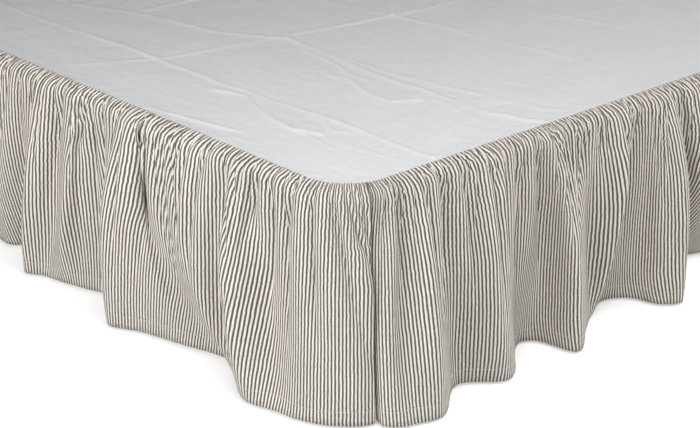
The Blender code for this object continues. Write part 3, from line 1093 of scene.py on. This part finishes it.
def deck_plan():
    """A grid over the deck's plan, and how far each point is from the nearest edge."""
    half_width = BED_WIDTH / 2 - SEAM_INSET - DECK_GAP
    foot = SEAM_INSET + DECK_GAP - BED_LENGTH / 2
    head = deck_high.y
    radius = CORNER_RADIUS - SEAM_INSET - DECK_GAP
    # rows crowd together where the corners turn
    turn = np.linspace(0, math.pi / 2, CORNER_ROWS)
    corner_rows = foot + radius - radius * np.cos(turn)
    run = head - foot - radius
    straight = foot + radius + run * opened(round(run / DECK_STEP))
    y = np.concatenate((corner_rows, straight[1:]))
    inner = np.maximum(foot + radius - y, 0)
    reach = half_width - radius + np.sqrt(np.maximum(radius**2 - inner**2, 0))
    across = 2 * opened(round(2 * half_width / DECK_STEP)) - 1
    x = reach[:, None] * across
    y = np.repeat(y[:, None], len(across), axis=1)
    edge = np.minimum(np.minimum(half_width - np.abs(x), y - foot), head - y)
    return x, y, edge


def deck_points():
    """The deck's sheet: the plan's grid with its creases, softness and lifted edge."""
    draw = np.random.default_rng(DECK_SEED)
    x, y, edge = deck_plan()
    calm = np.clip(edge / CALM_EDGE, 0, 1)
    z = crease_heights(x, y, draw) * np.clip(edge / CREASE_EDGE, CREASE_LEAST, 1)
    for depth, pitch in (BROAD_SOFT, FINE_SOFT):
        z += depth * soft_noise(x, y, pitch, draw) * calm
    depth, pitch = PUCKER
    pucker = soft_noise(x, y, pitch, draw) * depth * np.exp(-((edge / PUCKER_EDGE) ** 2))
    lift = SEAM_LIFT * np.exp(-((edge / LIFT_EDGE) ** 2))
    z = DECK_MIDDLE + DECK_GAP + lift + np.maximum(z + pucker + LOFT * calm, 0)
    return np.stack((x, y, z), axis=-1)


points = deck_points()
rows, columns = points.shape[:2]
deck = sheet_mesh("deck_cloth", points, np.arange(float(columns)), np.arange(float(rows)))
deck.data.flip_normals()
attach(deck, "root")
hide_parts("deck")
print("deck:", rows, "rows of", columns, "points")

# %% [markdown]
# ### Plain cotton
#
# The deck and the base's cover are plain cotton, so they share one recipe with other yarns
# and tones. It reads Object coordinates, because both lie flat and nothing on them has to
# follow a fold.

# %% The deck's and the base's cotton
DECK_WHITE = (0.80, 0.80, 0.82)
BASE_LINEN = (0.62, 0.60, 0.56)
YARN_DEPTH = 0.0001


def plain_cotton(name, colour, yarn, crumple, depth, tone):
    material, tree, shader = new_material(name, roughness=0.8, sheen=0.1)
    place = wire(tree, "ShaderNodeTexCoord").outputs["Object"]
    woven = use_group(tree, weave, Place=place, Yarn=yarn, Slub=0.12)
    crumpled = use_group(tree, washed, Place=place, Crumple=crumple, Tone=tone)
    shade = math_of(tree, "MULTIPLY", woven.outputs["Shade"], crumpled.outputs["Shade"])
    tree.links.new(scaled_by(tree, colour, shade), shader.inputs["Base Color"])
    heights = [(crumpled.outputs["Height"], depth), (woven.outputs["Height"], YARN_DEPTH)]
    add_bumps(tree, shader, heights)
    return material


deck_cotton = plain_cotton(
    "deck_cotton", DECK_WHITE, yarn=0.00035, crumple=40.0, depth=0.0022, tone=0.02
)
base_cotton = plain_cotton(
    "base_cotton", BASE_LINEN, yarn=0.0006, crumple=60.0, depth=0.002, tone=0.06
)
deck.data.materials.append(deck_cotton)
bed_base = bpy.data.objects["bed_base"]
bed_base.data.materials.clear()
bed_base.data.materials.append(base_cotton)
print("cottons:", deck_cotton.name, "and", base_cotton.name)

# %% [markdown]
# ### The legs' wood
#
# The legs are pale beech: grain that runs down the leg, with fine darker pores. Noise that
# is squeezed flat along the leg's height draws both. A wood with rings would need a wave
# texture, but beech hardly shows them.

# %% The legs' wood
BEECH_DARK = (0.42, 0.27, 0.15, 1)
BEECH_PALE = (0.60, 0.43, 0.27, 1)
PORE_BROWN = (0.25, 0.15, 0.08, 1)
GRAIN_SQUEEZE, PORE_SQUEEZE = (1.0, 1.0, 0.06), (1.0, 1.0, 0.04)
GRAIN_SCALE, PORE_SCALE = 90.0, 900.0


def leg_wood():
    material, tree, shader = new_material("leg_wood", roughness=0.5)
    place = wire(tree, "ShaderNodeTexCoord").outputs["Object"]
    wandered = use_group(tree, wander, Place=place, Fine=0.002, Broad=0.006).outputs[0]
    squeezed = vector_of(tree, "MULTIPLY", wandered, GRAIN_SQUEEZE)
    grain = noise_of(tree, squeezed, GRAIN_SCALE, detail=4.0, roughness=0.6)
    pores = noise_of(tree, vector_of(tree, "MULTIPLY", place, PORE_SQUEEZE), PORE_SCALE)
    figure = spread_of(tree, grain, 0.35, 0.65, 0.0, 1.0)
    colour = blend_of(tree, figure, BEECH_DARK, BEECH_PALE)
    dark = spread_of(tree, pores, 0.30, 0.45, 0.5, 0.0, smooth=True)
    tree.links.new(blend_of(tree, dark, colour, PORE_BROWN), shader.inputs["Base Color"])
    tree.links.new(spread_of(tree, pores, 0.3, 0.6, 0.6, 0.42), shader.inputs["Roughness"])
    add_bumps(tree, shader, [(grain, 0.0006), (pores, 0.0002)])
    return material


wood = leg_wood()
legs = [piece for piece in bpy.data.objects if piece.name.startswith("leg_")]
for leg in legs:
    leg.data.materials.clear()
    leg.data.materials.append(wood)
print("legs:", len(legs))

# %% [markdown]
# ## Hem stitches
#
# A row of small stitches holds the turned hem. Geometry Nodes walks a line that lies on the
# cloth, puts a short length of thread at every step, and turns each one along the line. An
# Array modifier on a curve could do it too, but it would bend every stitch.

# %% The stitch tree
THREAD_SIDES = 6


def stitch_tree():
    tree = bpy.data.node_groups.new("stitch_row", "GeometryNodeTree")
    tree.interface.new_socket("Geometry", in_out="INPUT", socket_type="NodeSocketGeometry")
    for label in ("Pitch", "Length", "Radius"):
        tree.interface.new_socket(label, in_out="INPUT", socket_type=FLOAT)
    tree.interface.new_socket("Thread", in_out="INPUT", socket_type="NodeSocketMaterial")
    tree.interface.new_socket("Geometry", in_out="OUTPUT", socket_type="NodeSocketGeometry")
    given, made = tree.nodes.new("NodeGroupInput"), tree.nodes.new("NodeGroupOutput")
    line = wire(tree, "GeometryNodeMeshToCurve", given.outputs["Geometry"])
    steps = tree.nodes.new("GeometryNodeResampleCurve")
    steps.mode = "LENGTH"
    tree.links.new(line.outputs[0], steps.inputs["Curve"])
    tree.links.new(given.outputs["Pitch"], steps.inputs["Length"])
    thread = tree.nodes.new("GeometryNodeMeshCylinder")
    thread.inputs["Vertices"].default_value = THREAD_SIDES
    tree.links.new(given.outputs["Radius"], thread.inputs["Radius"])
    tree.links.new(given.outputs["Length"], thread.inputs["Depth"])
    tangent = tree.nodes.new("GeometryNodeInputTangent")
    turned = tree.nodes.new("FunctionNodeAlignRotationToVector")
    turned.axis = "Z"
    tree.links.new(tangent.outputs[0], turned.inputs["Vector"])
    placed_all = tree.nodes.new("GeometryNodeInstanceOnPoints")
    tree.links.new(steps.outputs[0], placed_all.inputs["Points"])
    tree.links.new(thread.outputs["Mesh"], placed_all.inputs["Instance"])
    tree.links.new(turned.outputs[0], placed_all.inputs["Rotation"])
    real = wire(tree, "GeometryNodeRealizeInstances", placed_all.outputs[0])
    dressed = tree.nodes.new("GeometryNodeSetMaterial")
    tree.links.new(real.outputs[0], dressed.inputs["Geometry"])
    tree.links.new(given.outputs["Thread"], dressed.inputs["Material"])
    tree.links.new(dressed.outputs[0], made.inputs[0])
    return tree


stitching = stitch_tree()
print("stitch tree:", len(stitching.nodes), "nodes")

# %% [markdown]
# The thread is cream like the pale stripe. Fine noise stands for its strands, because a
# stitch is less than a millimetre thick.

# %% The thread
THREAD_DARK = (0.72, 0.66, 0.57, 1)
THREAD_PALE = (0.90, 0.85, 0.76, 1)
STRAND_SCALE = 2500.0


def thread_cotton():
    material, tree, shader = new_material("sewing_thread", roughness=0.6, sheen=0.2)
    place = wire(tree, "ShaderNodeTexCoord").outputs["Object"]
    strands = noise_of(tree, place, STRAND_SCALE, detail=1.0)
    colour = blend_of(tree, strands, THREAD_DARK, THREAD_PALE)
    tree.links.new(colour, shader.inputs["Base Color"])
    add_bumps(tree, shader, [(strands, 0.0001)])
    return material


thread = thread_cotton()
print("thread:", thread.name)

# %% [markdown]
# Each hem's line is a mesh of loose edges with the tree as its modifier. The modifier's
# inputs are set by their identifiers, and the result is made into a plain mesh, because
# the finished piece is to stand without its modifier.

# %% Sew the three hems
STITCH_VALUES = {"Pitch": 0.0036, "Length": 0.0026, "Radius": 0.00034, "Thread": thread}


def sewn_row(name, line, tree, values):
    """Stitches along a line of points, as a plain mesh."""
    mesh = bpy.data.meshes.new(name + "_line")
    mesh.from_pydata(line.tolist(), [(k, k + 1) for k in range(len(line) - 1)], [])
    guide = bpy.data.objects.new(name + "_line", mesh)
    bpy.context.scene.collection.objects.link(guide)
    modifier = guide.modifiers.new("stitches", "NODES")
    modifier.node_group = tree
    for item in tree.interface.items_tree:
        if item.in_out == "INPUT" and item.name in values:
            modifier[item.identifier] = values[item.name]
    evaluated = guide.evaluated_get(bpy.context.evaluated_depsgraph_get())
    plain = bpy.data.meshes.new_from_object(evaluated)
    guide.modifiers.clear()
    bpy.data.objects.remove(guide)
    piece = bpy.data.objects.new(name, plain)
    bpy.context.scene.collection.objects.link(piece)
    return piece


for name, line in hem_lines.items():
    row = sewn_row(f"hem_stitches_{name}", line, stitching, STITCH_VALUES)
    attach(row, "root")
    print(row.name, len(row.data.polygons), "faces")
